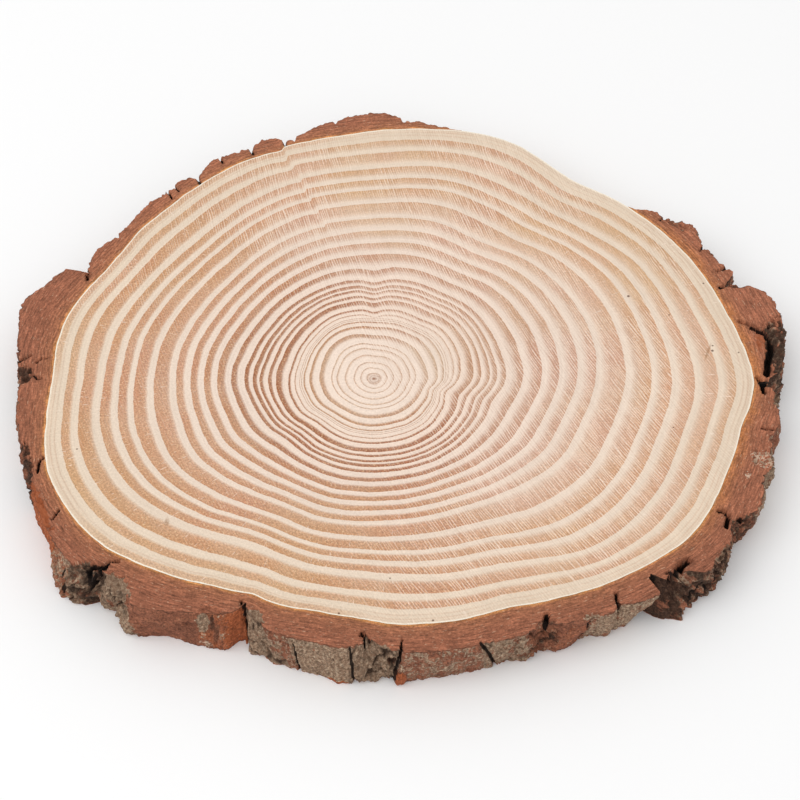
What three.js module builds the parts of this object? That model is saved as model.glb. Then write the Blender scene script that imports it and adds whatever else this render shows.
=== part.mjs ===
// A slice sawn across a pine log, with its bark still on. It grew as one piece, so it is one solid.
// Millimetres, +Z up. The origin is at the middle of the slice's box, on its underside.
import * as THREE from 'three';

// Driving dimensions
const thickness = 20;          // from the lower sawn face to the upper one
const pith = [-10.5, -15.4];   // the heart of the tree, from the middle of the slice
const stepsPerSpan = 2;        // outline steps between two points of the rim
const wallRows = 4;            // rows of faces up the bark wall
const wallBulge = 0.8;         // how far the wall swells out at half height

// The outer edge of the upper face, as [degrees, distance from the pith].
// From 42 to 75 degrees the bark is gone and the edge is the wood's own.
// A short dip between two close points is a split between bark plates.
const rim = [
  [0.6, 156.5], [2, 160], [4, 162.5], [8, 166], [12, 168], [16, 167], [17.2, 164], [18.6, 161],
  [19.6, 153], [20.6, 157.5], [21.5, 159], [24, 156.5], [26, 157], [28, 155], [32, 158.8], [34.8, 156],
  [36.5, 151.8], [38, 151.3], [40, 148], [42, 145], [46, 143.3], [52.5, 141.2], [60, 145.5],
  [66, 149.2], [72, 150.3], [76, 149.7], [80, 150.7], [83, 152.3], [85.5, 152], [88.5, 156],
  [93.5, 155], [97, 152], [100, 150.8], [104, 145.3], [106.3, 144], [107.5, 146.3], [110, 147],
  [112.6, 143.5], [115, 144.5], [119, 144.5], [121.5, 143], [124.3, 137.5], [125.3, 140.5],
  [128, 140], [130, 138.5], [133, 139.3], [140, 135.2], [145, 134.7], [148, 136.6], [152.3, 134],
  [153.9, 131.5], [154.8, 141], [159.5, 144.5], [163, 148.7], [165, 149], [170, 145], [176, 141.5],
  [180, 139], [186, 139.3], [193, 138.5], [197, 137], [204, 138.8], [212, 140.5], [218, 140],
  [221.3, 138], [222.7, 133], [224.5, 135.5], [227, 135.5], [228.8, 133.5], [231, 136.3],
  [234, 133.5], [238, 128.5], [241, 125], [245.5, 120], [247, 115.8], [249.5, 119.5], [254, 122.5],
  [260, 123], [267.5, 124], [269.5, 120], [272, 124.5], [278, 126.7], [285, 128], [292, 129.5],
  [296.5, 130.3], [298, 128.5], [300, 132], [304, 135.3], [308.5, 139], [309.7, 137.2], [312, 141.5],
  [317, 145], [320.3, 143], [322.5, 151], [326, 153.5], [329, 153], [332, 149.8], [335, 153.3],
  [342, 154.5], [347.5, 155.3], [349, 153], [352, 156.8], [357.2, 159.3], [359, 154],
];

// How far the bark wall leans in between the upper face and the underside, as [degrees, distance].
// Below zero it leans out.
const lean = [
  [0, 0], [30, 2], [58, 0], [100, 1.5], [150, 2.5], [190, 1], [210, 0], [224, -2], [232, 1],
  [242, -1.5], [262, -1.5], [280, 1], [300, 3.5], [316, 1], [334, 3], [346, 0.5],
];

const radians = THREE.MathUtils.degToRad;

function polar([angle, distance]) {
  return new THREE.Vector3(distance * Math.cos(radians(angle)), distance * Math.sin(radians(angle)), 0);
}

// The lean at an angle, eased between the listed ones, going once round.
function leanAt(angle) {
  const next = lean.findIndex(([degrees]) => degrees > angle);
  const [a1, d1] = next < 0 ? [360, lean[0][1]] : lean[next];
  const [a0, d0] = lean.at(next < 0 ? -1 : next - 1);
  const t = (1 - Math.cos(Math.PI * (angle - a0) / (a1 - a0))) / 2;
  return d0 + (d1 - d0) * t;
}

// Moves each point of the straight-sided blank to where the bark wall really stands at its height.
function shapeWall(geometry) {
  const place = geometry.attributes.position;
  for (let i = 0; i < place.count; i += 1) {
    const x = place.getX(i);
    const y = place.getY(i);
    const height = place.getZ(i) / thickness;
    const distance = Math.hypot(x, y);
    const angle = (THREE.MathUtils.radToDeg(Math.atan2(y, x)) + 360) % 360;
    const inward = leanAt(angle) * (1 - height) - wallBulge * Math.sin(Math.PI * height);
    const scale = (distance - inward) / distance;
    place.setXY(i, x * scale, y * scale);
  }
}

function woodSlice() {
  const edge = new THREE.CatmullRomCurve3(rim.map(polar), true, 'centripetal');
  const points = edge.getPoints(rim.length * stepsPerSpan).slice(0, -1);
  const outline = new THREE.Shape(points.map((p) => new THREE.Vector2(p.x, p.y)));
  const geometry = new THREE.ExtrudeGeometry(outline, {
    depth: thickness,
    steps: wallRows,
    bevelEnabled: false,
  });
  shapeWall(geometry);
  geometry.computeVertexNormals();
  const material = new THREE.MeshStandardMaterial({ color: 0xd9b48c, roughness: 0.8, metalness: 0 });
  const slice = new THREE.Mesh(geometry, material);
  slice.name = 'wood_slice';
  slice.position.set(pith[0], pith[1], 0);
  return slice;
}

const object = new THREE.Group();
object.add(woodSlice());

export default object;
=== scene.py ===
import math
from bisect import bisect_right

import bmesh
import bpy
from mathutils import Matrix, Vector, noise
from mathutils.bvhtree import BVHTree


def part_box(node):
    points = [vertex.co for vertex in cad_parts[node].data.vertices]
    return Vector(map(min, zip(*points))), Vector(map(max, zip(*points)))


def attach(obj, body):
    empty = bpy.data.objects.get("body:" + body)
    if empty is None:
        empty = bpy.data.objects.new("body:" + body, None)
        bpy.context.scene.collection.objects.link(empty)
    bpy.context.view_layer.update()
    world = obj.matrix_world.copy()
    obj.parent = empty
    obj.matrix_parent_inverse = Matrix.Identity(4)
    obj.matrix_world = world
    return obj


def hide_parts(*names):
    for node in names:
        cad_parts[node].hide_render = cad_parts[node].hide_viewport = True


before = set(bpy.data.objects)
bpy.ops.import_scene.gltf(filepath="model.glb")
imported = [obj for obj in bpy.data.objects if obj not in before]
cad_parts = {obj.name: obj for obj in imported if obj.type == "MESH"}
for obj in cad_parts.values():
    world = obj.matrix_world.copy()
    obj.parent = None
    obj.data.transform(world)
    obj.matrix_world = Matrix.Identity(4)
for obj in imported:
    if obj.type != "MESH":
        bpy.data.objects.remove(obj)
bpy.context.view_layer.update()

scene = bpy.context.scene
mm = 0.001
cadLow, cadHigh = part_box("wood_slice")
topZ = cadHigh.z / mm
noise.seed_set(7)  # without it noise_vector starts from the clock
pith = Vector((-10.5, -15.4, 0.0))  # heart of the tree, mm from the middle of the slice

# ---------- camera ----------
cameraSet = {
    "lens": 85.0,
    "aimAt": Vector((-0.275, -26.18, 20.0)) * mm,
    "lookDown": 50.0,  # degrees
    "distance": 0.736,
}


def makeCamera(settings):
    data = bpy.data.cameras.new("sliceCamera")
    data.lens = settings["lens"]
    data.sensor_width = 36.0
    data.clip_start = 0.01
    data.clip_end = 20.0
    camera = bpy.data.objects.new("sliceCamera", data)
    tilt = math.radians(settings["lookDown"])
    back = Vector((0.0, -math.cos(tilt), math.sin(tilt)))
    camera.location = settings["aimAt"] + back * settings["distance"]
    camera.rotation_euler = (math.pi / 2 - tilt, 0.0, 0.0)
    scene.collection.objects.link(camera)
    scene.camera = camera


makeCamera(cameraSet)
print("camera placed")


# ---------- small helpers ----------
def fade(low, high, value):
    # 0 below low, 1 above high, smooth between
    share = min(1.0, max(0.0, (value - low) / (high - low)))
    return share * share * (3.0 - 2.0 * share)


def bump(centre, width, value):
    return math.exp(-((value - centre) / width) ** 2)


def turnFrom(degrees, centre):
    # signed degrees from centre, the short way round
    return (degrees - centre + 180.0) % 360.0 - 180.0


def closedCurve(points):
    # smooth closed line through (degrees, value) points; gives value at any angle
    angles = [p[0] for p in points]
    values = [p[1] for p in points]
    count = len(points)

    def slope(i):
        before, after = (i - 1) % count, (i + 1) % count
        run = (angles[after] - angles[before]) % 360.0
        return (values[after] - values[before]) / run

    slopes = [slope(i) for i in range(count)]

    def at(degrees):
        turn = (degrees - angles[0]) % 360.0 + angles[0]
        i = bisect_right(angles, turn) - 1
        j = (i + 1) % count
        run = (angles[j] - angles[i]) % 360.0
        t = (turn - angles[i]) / run
        return (
            values[i] * (2 * t ** 3 - 3 * t ** 2 + 1)
            + slopes[i] * run * (t ** 3 - 2 * t ** 2 + t)
            + values[j] * (3 * t ** 2 - 2 * t ** 3)
            + slopes[j] * run * (t ** 3 - t ** 2)
        )

    return at


def evenly(values):
    return [(i * 360.0 / len(values), v) for i, v in enumerate(values)]


def polar(degrees, radius):
    turn = math.radians(degrees)
    return pith.x + radius * math.cos(turn), pith.y + radius * math.sin(turn)


# ---------- growth of the tree ----------
growth = {
    # mm from the heart to the end of these years, every 15 degrees from +X
    "yearEnds": {
        7: [21, 21.3, 21.8, 22.8, 23, 23, 23, 24.7, 25, 24.3, 22.7, 21.8,
            21.5, 20.8, 20.3, 19.8, 19.6, 19.8, 19.9, 19.8, 19.9, 19.8, 19.6, 19.8],
        13: [33.3, 35.2, 36.7, 37.7, 37, 37.8, 37.5, 37.8, 37.5, 35.5, 34.2, 33.3,
             33.5, 33.6, 33, 31.2, 31.8, 32.6, 32.6, 32.6, 32.6, 32, 30.7, 29.7],
        18: [51.8, 52, 53, 54.3, 54, 55, 54, 54.2, 52.8, 51.5, 50.2, 50.3,
             51, 48.7, 47.2, 45, 45.9, 46.5, 46.5, 46.6, 46.9, 47.1, 47.2, 48],
        23: [87, 90, 90.8, 90.3, 87.5, 91, 89.7, 88, 84.3, 80, 78.3, 78.5,
             77.9, 77, 76.7, 72.5, 69, 69.8, 69.2, 69.4, 71, 75.5, 81, 83],
        27: [126, 125, 125.2, 120.3, 121.5, 124.7, 120.3, 118, 112.3, 106.5, 105.3, 106.5,
             106, 107.9, 105.5, 98, 90.2, 91, 92, 95.8, 101, 114, 119.3, 121.3],
    },
    # the wood's edge under the bark, year 30
    "woodEdge": [
        (0, 149.3), (15, 147), (30, 146.3), (45, 143.8), (52.5, 141.2), (56, 142.5), (60, 145),
        (65, 148.7), (70, 150), (75, 149.5), (80, 148.2), (85, 146.7), (90, 145), (95, 142.8),
        (100, 141.7), (107, 140.2), (107.5, 138.4), (110, 138.6), (115, 137.7), (120, 135.8),
        (125, 133.8), (130, 131.8), (135, 130.3), (140, 129.3), (145, 127.3), (150, 126.4),
        (155, 126.8), (160, 128.2), (165, 128.8), (170, 128.4), (180, 126.6), (185, 127.3),
        (190, 128.3), (195, 130), (200, 131), (205, 130.9), (210, 130), (215, 128.8),
        (220, 126.8), (225, 123.3), (230, 119.8), (235, 116.7), (240, 113.5), (245, 111.4),
        (247.5, 110.5), (250, 111), (255, 111.2), (260, 110.8), (265, 111.5), (270, 113),
        (275, 115), (280, 116), (285, 117), (290, 117.5), (295, 118.3), (300, 121.3),
        (305, 124.5), (310, 128.3), (315, 131.5), (320, 135), (325, 138.5), (330, 140.3),
        (335, 141), (340, 141.5), (345, 142.6), (350, 143.8), (355, 147)],
    # how far through each span of years every single year ends
    "spans": {
        (0, 7): (0.13, 0.25, 0.37, 0.53, 0.68, 0.78, 1.0),
        (7, 13): (0.32, 0.51, 0.58, 0.64, 0.80, 1.0),
        (13, 18): (0.29, 0.46, 0.65, 0.81, 1.0),
        (18, 23): (0.19, 0.40, 0.59, 0.79, 1.0),
        (23, 27): (0.30, 0.57, 0.77, 1.0),
        (27, 30): (0.40, 0.70, 1.0),
    },
    # share of each year's width that is brown late wood
    "lateShare": [0.12, 0.12, 0.12, 0.13, 0.14, 0.15, 0.34, 0.25, 0.20, 0.15,
                  0.15, 0.15, 0.30, 0.45, 0.43, 0.37, 0.60, 0.45, 0.38, 0.50,
                  0.47, 0.47, 0.47, 0.65, 0.60, 0.55, 0.52, 0.57, 0.47, 0.50],
    "wave": 0.28,  # mm that a ring wanders
    "waveLength": 8.0,
    "steps": 600,
}
yearCount = 30


def growthRadii(degrees):
    # mm from the heart to the end of every year, 0 to 30, at this angle
    keys = {0: 0.0, yearCount: edgeAt(degrees)}
    for year, curve in yearCurves.items():
        keys[year] = curve(degrees)
    radii = [0.0]
    for (first, last), shares in growth["spans"].items():
        for share in shares:
            radii.append(keys[first] + (keys[last] - keys[first]) * share)
    for year in range(1, yearCount):
        radius = radii[year]
        if 24 <= year <= 29:  # hollow on the side that lost its bark
            radius -= 1.6 * bump(52.5, 6.0, degrees)
        if 12 <= year <= 19:  # dent above the heart
            radius -= 1.8 * bump(90.5, 5.0, degrees)
        if 8 <= year <= 18:
            radius -= 0.8 * bump(347.0, 7.0, degrees)
        if radius > 84.0:  # healed seam that runs out to the bark
            off = degrees - (104.5 + (radius - 92.0) * 0.061)
            if -12.0 < off < 0.0:
                radius += 0.7 * math.exp(off / 3.0)
            elif 0.0 <= off < 12.0:
                radius -= 1.2 * math.exp(-off / 3.0)
        radii[year] = radius
    return radii


yearCurves = {year: closedCurve(evenly(radii)) for year, radii in growth["yearEnds"].items()}
edgeAt = closedCurve(growth["woodEdge"])


def wander(degrees, radius):
    # the slow waviness that neighbouring rings share
    x, y = polar(degrees, radius)
    spot = Vector((x, y, 3.7)) / growth["waveLength"]
    calm = fade(4.0, 20.0, radius)
    return growth["wave"] * calm * (noise.noise(spot) + 0.5 * noise.noise(spot * 2.3))


def woodEdge(degrees):
    radius = edgeAt(degrees)
    return radius + wander(degrees, radius)


# ---------- the sawn wood ----------
def sweepRound(shape, section, edges, angle, steps):
    # spin one block of the arc, lay turned copies of it end to end, join them
    blocks = 10
    part = angle / blocks
    bmesh.ops.spin(
        shape, geom=section + edges, cent=(0, 0, 0), axis=(0, 0, 1),
        angle=part, steps=steps // blocks, use_merge=False,
    )
    first = shape.verts[:] + shape.edges[:] + shape.faces[:]
    for block in range(1, blocks):
        copied = bmesh.ops.duplicate(shape, geom=first)["geom"]
        verts = [item for item in copied if isinstance(item, bmesh.types.BMVert)]
        bmesh.ops.rotate(shape, verts=verts, cent=(0, 0, 0), matrix=Matrix.Rotation(part * block, 3, "Z"))
    bmesh.ops.remove_doubles(shape, verts=shape.verts[:], dist=0.0005)


def turnOf(co):
    return math.degrees(math.atan2(co.y, co.x)) % 360.0


def mapWood(shape, seat):
    # the piece's own map: the top and the underside as two discs, the side as a strip
    uv = shape.loops.layers.uv.new("OFBake")
    middle, halfWidth = pith + Vector((11.0, 16.0, 0.0)), 140.0
    topDisc, underDisc = ((0.40, 0.635), 0.375), ((0.785, 0.215), 0.20)
    for face in shape.faces:
        isWall = all(math.hypot(vert.co.x, vert.co.y) > yearCount - 0.01 for vert in face.verts)
        face.material_index = 1 if isWall else 0
        face.smooth = isWall
        facing = turnOf(face.calc_center_median())
        centre, size = topDisc if face.calc_center_median().z > topZ / 2 else underDisc
        for loop in face.loops:
            if isWall:
                turn = turnOf(loop.vert.co)
                turn -= 360.0 * round((turn - facing) / 360.0)
                loop[uv].uv = (0.02 + 0.96 * turn / 360.0, 0.004 + 0.016 * loop.vert.co.z / topZ)
            else:
                spot = (seat[loop.vert] - middle) / halfWidth
                loop[uv].uv = (centre[0] + spot.x * size, centre[1] + spot.y * size)


def makeSawnWood(settings):
    steps = settings["steps"]
    shape = bmesh.new()
    # half a section, one unit for each year: heart, out to the edge, down and back
    upper = [(year * 0.5, topZ) for year in range(2 * yearCount + 1)]
    side = [(yearCount, topZ * share) for share in (0.75, 0.5, 0.25)]
    lower = [(year, 0.0) for year, _ in reversed(upper)]
    section = [shape.verts.new((x, 0.0, z)) for x, z in upper + side + lower]
    edges = [shape.edges.new(pair) for pair in zip(section, section[1:])]
    sweepRound(shape, section, edges, math.tau, steps)
    bmesh.ops.recalc_face_normals(shape, faces=shape.faces)
    ring = shape.verts.layers.float.new("ring")
    radiiAt = {}
    seat = {}
    for vert in shape.verts:
        phase = round(math.hypot(vert.co.x, vert.co.y), 2)
        degrees = round(turnOf(vert.co), 3)
        if degrees not in radiiAt:
            radiiAt[degrees] = growthRadii(degrees)
        radii = radiiAt[degrees]
        year = min(int(phase), yearCount - 1)
        width = radii[year + 1] - radii[year]
        pale = 1.0 - settings["lateShare"][year]
        part = phase - year
        radius = radii[year] + width * (pale * min(1.0, part * 2) + (1 - pale) * max(0.0, part * 2 - 1))
        radius += wander(degrees, radius)
        vert[ring] = phase
        seat[vert] = Vector((*polar(degrees, radius), vert.co.z))
    mapWood(shape, seat)
    for vert, place in seat.items():
        vert.co = place * mm
    return settle(shape, "sawnWood")


def settle(shape, name):
    mesh = bpy.data.meshes.new(name)
    shape.to_mesh(mesh)
    shape.free()
    piece = bpy.data.objects.new(name, mesh)
    scene.collection.objects.link(piece)
    return piece


sawnWood = makeSawnWood(growth)
print("sawn wood grown:", len(sawnWood.data.polygons), "faces")


# ---------- bark ----------
bark = {
    "from": 75.5,  # degrees; the bark runs from here round to "to"
    "to": 402.0,
    "steps": 1440,
    "topLoops": 26,
    "wallLoops": 26,
    "underLoops": 6,
    "rows": 4,  # strips that the bark takes on its own map
    "seed": 19.0,
    # how much further in than the frame's wall the lower edge is, (degrees, mm)
    "undercut": [
        (0, -0.3), (2.2, -1.6), (3, 5.5), (5.4, 6.5), (7, 1.5), (12, 0), (20, 0.5), (45, 0), (75, 0),
        (130, 0.5), (160, 0.5), (185, -0.5), (192, 0.3), (199, -1.3), (204, -0.6), (210, 1.9),
        (212, 0.4), (214, -2.2), (217, -4.4), (219, -3.3), (221, -1), (224, 0.5), (225.8, 2.9),
        (227.5, 0), (229.6, -3.1), (231.5, -0.8), (234.5, 1.6), (239, 0.8), (243.8, -2), (244.9, -1.8),
        (246, 1.2), (248.5, -1.8), (250.3, -0.2), (254.6, 0.6), (262, 0.8), (265.5, -1.1), (267.2, -1.4),
        (268.3, -3.6), (270.2, -4.6), (272, 0.4), (274, -1.6), (276.5, 0.3), (293, 0.1), (295.2, -2),
        (298.5, -2.8), (303, -0.4), (306.5, 3.2), (309.2, -0.1), (312.5, 3.5), (314.3, 5.4), (315.4, 5.8),
        (316.3, 1.4), (317.5, -3.2), (319.6, -6.4), (321, -5.6), (322.6, -1), (325.5, -1.4), (328, 0.2),
        (331, -1.6), (334.5, -2.6), (339, -2.6), (342, -0.7), (344.4, -1.8), (347, -0.5), (351.5, -2.1),
        (353, -0.4), (355, 1.2), (358.5, 0.8)],
    "rimToo": (330, 337, 359, 362),  # from, fully, until, to: here the rim moves with the lower edge
    # splits: points (degrees, mm from heart), width, depth, how far down the wall
    "splits": [
        ([(19.3, 150), (19.8, 159)], 1.1, 8, 16),
        ([(22.7, 153), (22.6, 158.5)], 0.8, 4, 8),
        ([(11.9, 150.3), (11.1, 153.2), (10.2, 155)], 1.0, 6, 0),
        ([(10.2, 155), (9.3, 158.4), (7.5, 160), (6, 159.4), (3.7, 156.6), (1, 155)], 2.3, 8, 0),
        ([(27.6, 152.5), (28, 156)], 0.8, 3, 8),
        ([(36.5, 149.5), (36.4, 152.5)], 0.8, 3, 8),
        ([(106.4, 141), (106.4, 145)], 0.9, 5, 14),
        ([(112.6, 140.5), (112.6, 145)], 0.9, 5, 14),
        ([(118.3, 140.8), (118.3, 145.5)], 0.7, 4, 10),
        ([(124.3, 134.5), (123.9, 138.5)], 1.0, 6, 16),
        ([(128.5, 136), (128.5, 140)], 0.7, 4, 10),
        ([(130.5, 134), (130.2, 139.5)], 0.8, 4, 12),
        ([(155.4, 130.3), (154, 132.4), (153.1, 136)], 1.1, 8, 18),
        ([(175.1, 130.8), (175.4, 132.5), (176.2, 134.2)], 0.8, 4, 0),
        ([(179.8, 131), (179.9, 132.5), (179, 134.4)], 0.8, 3, 0),
        ([(174.8, 137), (176.5, 142)], 1.0, 5, 12),
        ([(197.3, 131.3), (198, 133), (200, 135)], 0.9, 4, 0),
        ([(208.8, 133), (209.3, 134.4), (209.9, 136.8)], 0.8, 4, 0),
        ([(223.5, 126.9), (222.7, 128.6), (222.6, 130.2), (222.8, 132.3)], 1.0, 7, 0),
        ([(222.8, 132.3), (221.3, 135), (222, 140)], 2.2, 8, 13),
        ([(245.9, 114.5), (246.9, 116.6)], 0.9, 6, 4),
        ([(268.3, 118), (269.2, 120.5)], 1.0, 5, 0),
        ([(267.9, 119.2), (268.8, 119.4)], 0.6, 3, 0),
        ([(269.2, 120.5), (270.5, 126)], 2.2, 7, 8),
        ([(275.2, 121.4), (274.8, 126.5)], 0.7, 4, 10),
        ([(299.5, 127), (298.3, 130), (297, 133)], 2.0, 6, 10),
        ([(311, 134), (310.2, 136), (309.2, 140.5)], 1.1, 5, 10),
        ([(323, 144.2), (321.6, 143.2), (319.6, 143.8), (317.6, 145), (316.4, 146.2)], 2.4, 15, 5),
        ([(319.2, 141.2), (320.2, 143)], 1.0, 5, 0),
        ([(333.4, 144), (333.8, 145.6), (333.1, 148), (331.3, 149)], 1.4, 7, 0),
        ([(333.7, 152), (332.2, 154.6)], 1.6, 8, 0),
        ([(350.6, 151.5), (350.6, 156)], 0.9, 5, 12),
        ([(0.3, 151), (-0.8, 152.3), (-2.5, 152.8)], 1.5, 8, 0),
        ([(-0.7, 152.3), (-0.9, 158)], 2.2, 12, 20),
    ],
    # lines down the wall: points (degrees, mm below the top), width, depth; a negative depth is a ridge
    "wallSplits": [
        ([(246.8, 0), (247.5, 10), (248, 20)], 1.1, 3.0),
        ([(244.2, 0), (244.9, 18)], 0.8, -0.9),
        ([(317, 0), (316, 5), (315.6, 10), (315.4, 20)], 2.8, 8.0),
        ([(321.6, 3), (319.8, 12), (318.6, 20)], 1.5, -1.8),
        ([(323.6, 3), (321.8, 12), (320.8, 20)], 1.0, 2.0),
        ([(326.5, 2), (323.5, 11), (322, 20)], 0.9, 1.6),
        ([(329.5, 6), (326.5, 20)], 0.8, 1.4),
        ([(217.5, 6), (218.6, 20)], 0.9, 1.6),
        ([(226.2, 0), (226.8, 20)], 0.9, 2.0),
        ([(287.5, 0), (289, 8), (290.5, 20)], 1.0, 1.8),
        ([(257.2, 3), (258, 20)], 0.8, 1.2),
        ([(266.6, 0), (267.2, 20)], 0.8, 1.4),
        ([(274.8, 0), (274.2, 10), (273.4, 20)], 0.9, 1.6),
        ([(305, 3), (304.6, 20)], 0.9, 1.4),
        ([(34.8, 0), (35.5, 20)], 1.2, 2.2),
        ([(85.5, 0), (86, 20)], 1.4, 2.5),
        ([(97, 0), (96.4, 20)], 1.0, 1.8),
        ([(104.6, 0), (105.2, 20)], 1.4, 2.5),
        ([(144, 0), (143.5, 20)], 1.1, 2.0),
        ([(165, 0), (166, 20)], 1.1, 1.6),
        ([(185, 0), (185.6, 20)], 1.0, 1.6),
        ([(342, 0), (342.5, 20)], 1.2, 2.0),
        ([(355, 0), (355.5, 20)], 1.2, 2.0),
    ],
    # marks on the wall: degrees, mm below the top, half width in degrees, half height in mm,
    # stands out mm, dark, grey, peeled
    "marks": [
        (229.2, 14.5, 2.5, 5.6, 1.3, 0.0, 0.65, 0.1),
        (241.3, 5.0, 1.0, 5.6, -0.3, 0.0, 0.85, 0.0),
        (242.6, 5.0, 0.45, 4.5, -1.1, 0.7, 0.0, 0.0),
        (243.4, 11.0, 0.5, 6.0, -0.9, 0.5, 0.0, 0.3),
        (241.7, 17.0, 1.3, 2.4, 0.3, 0.0, 0.3, -0.7),
        (264.5, 19.4, 2.2, 1.3, 0.4, 0.2, 0.0, 0.8),
        (273.4, 7.0, 0.8, 2.6, -2.6, 1.0, 0.0, 0.0),
        (274.7, 16.0, 1.1, 4.6, 0.6, 0.0, 0.0, 0.9),
        (290.6, 9.0, 1.4, 5.0, 0.4, 0.0, 0.9, -0.3),
        (308.0, 7.0, 1.5, 5.0, 0.3, 0.0, 0.8, -0.1),
        (318.2, 3.0, 2.2, 8.0, -2.5, 1.6, 0.0, 0.0),
    ],
    # broken patches of the sawn top: degrees from, to, mm from, to, sunk, rough, dark, grey, peeled
    "patches": [
        (358.5, 371.5, 156.6, 170, 2.2, 1.6, 0.95, 0.45, 0.0),
        (364, 369.8, 153.4, 158.6, 0.5, 0.8, 0.25, 0.0, 0.55),
        (378.2, 380.2, 154.5, 162, 1.6, 1.0, 0.6, 0.0, 0.1),
        (384, 390, 155, 161, 0.8, 0.7, 0.4, 0.2, 0.2),
        (392, 400, 151, 158, 0.8, 0.7, 0.4, 0.2, 0.2),
        (176.8, 181, 134.3, 141, 2.4, 1.2, 0.85, 0.1, 0.0),
        (192.5, 200.5, 135.3, 140, 2.0, 1.0, 0.8, 0.0, 0.1),
        (200, 212, 136.6, 142, 1.4, 0.5, 0.1, 0.0, 0.8),
        (218.8, 223.8, 133.5, 150, 2.8, 2.0, 0.7, 0.5, 0.0),
        (223.4, 229.8, 130.3, 142, 1.4, 1.4, 0.35, 0.9, 0.0),
        (240.5, 244.5, 120.5, 126, 1.0, 0.5, 0.1, 0.1, 0.3),
        (247.2, 251.3, 115.4, 124, 1.2, 0.9, 0.2, 0.95, 0.0),
        (267.5, 273.5, 122.4, 130, 1.2, 1.2, 0.4, 0.8, 0.0),
        (296, 300.5, 128.8, 134, 2.4, 1.0, 0.7, 0.2, 0.2),
        (303.2, 306.8, 134.2, 141, 0.6, 0.9, 0.0, 0.5, -0.6),
        (316, 321, 143.4, 152, 8.0, 2.0, 1.0, 0.1, 0.0),
        (322.3, 331, 151.5, 160, 1.6, 1.6, 0.5, 0.55, 0.0),
        (330.2, 334.6, 149.4, 160, 2.4, 1.5, 0.8, 0.4, 0.0),
        (343.3, 346.6, 148.6, 158, 0.8, 1.2, 0.1, 0.3, -0.6),
        (340.8, 342.2, 148.0, 150.6, 0.3, 0.6, 0.0, 0.0, -0.9),
        (354.3, 358.2, 156.0, 163, 1.8, 1.3, 0.5, 0.7, 0.0),
        (104.5, 107, 143, 150, 0.7, 0.8, 0.4, 0.1, 0.1),
        (145, 150, 135.5, 140, 0.8, 0.7, 0.3, 0.1, 0.2),
    ],
    # the wall, stretch by stretch: degrees from, rough mm, dark, grey, peeled, stands out mm, and
    # how many degrees its start has moved by at the foot
    "stretches": [
        (75, 0.9, 0.25, 0.35, 0.1, 0.0, 0), (88, 1.2, 0.3, 0.5, 0.1, 0.0, 0), (97, 0.8, 0.2, 0.2, 0.4, -0.5, 0),
        (106, 1.4, 0.5, 0.4, 0.1, 0.0, 0), (118, 1.0, 0.3, 0.6, 0.0, 0.0, 0), (126, 1.3, 0.5, 0.3, 0.1, 0.0, 0),
        (134, 0.7, 0.15, 0.3, 0.4, 0.0, 0), (145, 1.2, 0.4, 0.5, 0.1, 0.0, 0), (154, 0.6, 0.1, 0.15, 0.35, 0.0, 0),
        (173, 1.5, 0.8, 0.3, 0.0, 0.0, 0), (182, 0.7, 0.3, 0.3, 0.3, 0.0, 0), (193, 1.3, 0.8, 0.2, 0.0, 0.3, 0),
        (201, 0.6, 0.05, 0.0, 1.0, -0.3, 0), (214, 0.9, 0.3, 0.45, 0.5, 0.0, 0), (218.8, 1.9, 0.65, 0.55, 0.0, 0.4, 0),
        (223.8, 1.6, 0.4, 0.75, 0.1, 0.3, 0), (229.2, 0.35, 0.1, 0.1, 0.25, 0.0, 2.4), (240.7, 0.7, 0.1, 0.25, 0.5, -0.4, 0),
        (245.0, 0.4, 0.0, 0.1, 0.75, 0.2, 0), (247.1, 0.9, 0.35, 0.85, 0.0, -0.5, 0.8), (251.4, 0.6, 0.25, 0.4, 0.3, 0.2, 5.6),
        (256.2, 0.4, 0.0, 1.0, 0.0, 0.4, 2), (266.8, 1.5, 0.45, 0.9, 0.0, -0.4, 0.4), (274.8, 0.35, 0.1, 0.4, 0.1, 0.3, -1.2),
        (287.7, 0.8, 0.25, 0.6, 0.2, 0.4, 1), (296, 1.2, 0.5, 0.3, 0.4, -0.8, 0), (300.5, 0.5, 0.1, 0.1, 0.3, 0.0, 0),
        (305, 0.45, 0.1, 0.6, 0.1, 0.2, 0), (316.4, 1.6, 1.8, 0.1, 0.0, -0.3, -2.6), (319.2, 1.7, 0.85, 0.4, 0.0, 0.4, -1.2),
        (331, 1.5, 0.7, 0.3, 0.1, -0.4, 0), (336, 1.0, 0.4, 0.5, 0.1, 0.0, 0), (341, 1.2, 0.2, 0.7, 0.1, 0.0, 0),
        (347, 0.8, 0.3, 0.3, 0.2, 0.0, 0), (354.5, 1.5, 0.8, 0.4, 0.0, 0.2, 0), (362, 1.2, 0.75, 0.4, 0.0, 0.0, 0),
        (371.5, 0.8, 0.3, 0.3, 0.3, 0.0, 0), (379, 1.1, 0.5, 0.4, 0.1, 0.0, 0), (388, 1.2, 0.4, 0.5, 0.1, 0.0, 0),
        (398, 0.9, 0.3, 0.3, 0.2, 0.0, 0)],
}
plateSize = (15.0, 12.0)  # mm along and up the wall
barkRadius = 138.0  # mm, to turn degrees into a length along the bark


def wallTree():
    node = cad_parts["wood_slice"].data
    return BVHTree.FromPolygons(
        [v.co / mm for v in node.vertices], [tuple(p.vertices) for p in node.polygons]
    )


cadWall = wallTree()
undercutAt = closedCurve(bark["undercut"])


def frameWall(degrees, z):
    # mm from the heart to the frame's wall at this height
    turn = math.radians(degrees)
    start = pith + Vector((0, 0, min(topZ - 0.02, max(0.02, z))))
    hit = cadWall.ray_cast(start, Vector((math.cos(turn), math.sin(turn), 0.0)))[0]
    return (hit - start).length


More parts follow.
